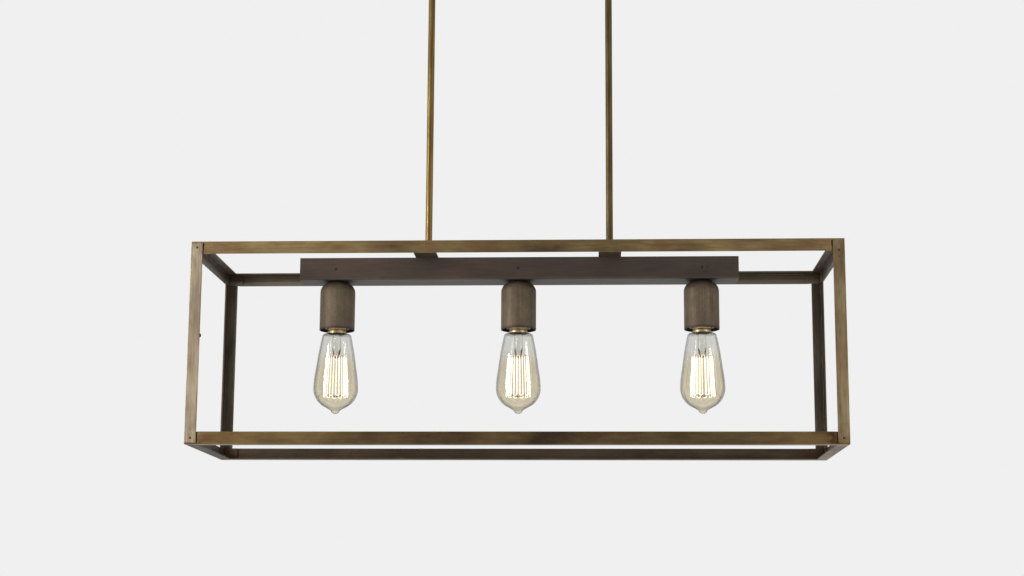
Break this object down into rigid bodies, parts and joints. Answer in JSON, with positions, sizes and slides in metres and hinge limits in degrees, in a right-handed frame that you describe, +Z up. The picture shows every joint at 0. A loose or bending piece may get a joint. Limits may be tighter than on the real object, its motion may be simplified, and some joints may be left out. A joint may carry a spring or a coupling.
{
  "type": "linear island pendant light",
  "caption": "Open rectangular cage of steel angle hung from slim stems, with a lamp bar, cylindrical cup lampholders and pear-shaped filament bulbs inside",
  "frame": {"origin": "on the ceiling plane, midway between the two stems", "axes": "+Z up towards the ceiling, +X along the cage's length to the right, -Y towards the front"},
  "size_m": [0.9, 0.24, 0.782],
  "materials": {
    "cage_steel": "aged bronze patina over steel angle, rubbed through at edges",
    "strap_steel": "dark aged patina",
    "stem_brass": "aged brass tube",
    "nut_brass": "aged brass nuts",
    "bar_steel": "dark brown patina",
    "cup_metal": "brushed aged bronze",
    "holder_phenolic": "dark moulded phenolic",
    "contact_brass": "pressed brass",
    "nipple_steel": "zinc-plated steel tube",
    "bracket_zinc": "zinc-plated steel strip",
    "block_plastic": "off-white moulded plastic",
    "cover_steel": "aged bronze patina",
    "collar_brass": "aged brass",
    "lead_silicone": "silicone-insulated wire",
    "bulb_insulator": "black glass insulator with a solder tip",
    "bulb_brass": "rolled brass cap",
    "bulb_glass": "clear glass with a faint amber tint",
    "bulb_stem_glass": "clear pressed glass",
    "bulb_filament": "glowing wound wire"
  },
  "bodies": {
    "pendant": {"ceiling_bracket": "bracket_zinc", "terminal_block": "block_plastic", "stem_left": "stem_brass", "stem_right": "stem_brass", "stem_top_nuts": "nut_brass", "stem_lower_nuts": "nut_brass", "strap_left": "strap_steel", "strap_right": "strap_steel", "bar_channel": "bar_steel", "bar_lid": "bar_steel", "bar_cap_left": "bar_steel", "bar_cap_right": "bar_steel", "centre_contacts": "contact_brass", "nipples": "nipple_steel", "nipple_nuts": "nut_brass", "lamp_leads": "lead_silicone", "upright_front_left": "cage_steel", "upright_front_right": "cage_steel", "upright_back_right": "cage_steel", "upright_back_left": "cage_steel", "top_rail_front": "cage_steel", "bottom_rail_front": "cage_steel", "top_rail_right": "cage_steel", "bottom_rail_right": "cage_steel", "top_rail_back": "cage_steel", "bottom_rail_back": "cage_steel", "top_rail_left": "cage_steel", "bottom_rail_left": "cage_steel", "cup_left": "cup_metal", "lampholder_left": "holder_phenolic", "screw_shell_left": "contact_brass", "cup_middle": "cup_metal", "lampholder_middle": "holder_phenolic", "screw_shell_middle": "contact_brass", "cup_right": "cup_metal", "lampholder_right": "holder_phenolic", "screw_shell_right": "contact_brass"},
    "cover": {"ceiling_cover": "cover_steel", "cover_collars": "collar_brass"},
    "bulb_left_centre": {"bulb_contact_left": "bulb_insulator"},
    "bulb_left": {"bulb_cap_left": "bulb_brass", "bulb_glass_left": "bulb_glass", "bulb_mount_left": "bulb_stem_glass", "filament_left": "bulb_filament"},
    "bulb_middle_centre": {"bulb_contact_middle": "bulb_insulator"},
    "bulb_middle": {"bulb_cap_middle": "bulb_brass", "bulb_glass_middle": "bulb_glass", "bulb_mount_middle": "bulb_stem_glass", "filament_middle": "bulb_filament"},
    "bulb_right_centre": {"bulb_contact_right": "bulb_insulator"},
    "bulb_right": {"bulb_cap_right": "bulb_brass", "bulb_glass_right": "bulb_glass", "bulb_mount_right": "bulb_stem_glass", "filament_right": "bulb_filament"}
  },
  "joints": [
    {"name": "cover_slide", "type": "slide", "parent": "pendant", "child": "cover", "axis": [0, 0, 1], "range_m": [-0.42, 0]},
    {"name": "bulb_left_travel", "type": "slide", "parent": "pendant", "child": "bulb_left_centre", "axis": [0, 0, 1], "range_m": [-0.0205, 0]},
    {"name": "bulb_left_turn", "type": "hinge", "parent": "bulb_left_centre", "child": "bulb_left", "pos_m": [-0.262, 0, -0.585], "axis": [0, 0, -1], "range_deg": [0, 1980]},
    {"name": "bulb_middle_travel", "type": "slide", "parent": "pendant", "child": "bulb_middle_centre", "axis": [0, 0, 1], "range_m": [-0.0205, 0]},
    {"name": "bulb_middle_turn", "type": "hinge", "parent": "bulb_middle_centre", "child": "bulb_middle", "pos_m": [0, 0, -0.585], "axis": [0, 0, -1], "range_deg": [0, 1980]},
    {"name": "bulb_right_travel", "type": "slide", "parent": "pendant", "child": "bulb_right_centre", "axis": [0, 0, 1], "range_m": [-0.0205, 0]},
    {"name": "bulb_right_turn", "type": "hinge", "parent": "bulb_right_centre", "child": "bulb_right", "pos_m": [0.262, 0, -0.585], "axis": [0, 0, -1], "range_deg": [0, 1980]}
  ],
  "couplings": [
    {"joint": "bulb_left_travel", "follows": "bulb_left_turn", "m_per_rad": -0.00057751},
    {"joint": "bulb_middle_travel", "follows": "bulb_middle_turn", "m_per_rad": -0.00057751},
    {"joint": "bulb_right_travel", "follows": "bulb_right_turn", "m_per_rad": -0.00057751}
  ]
}
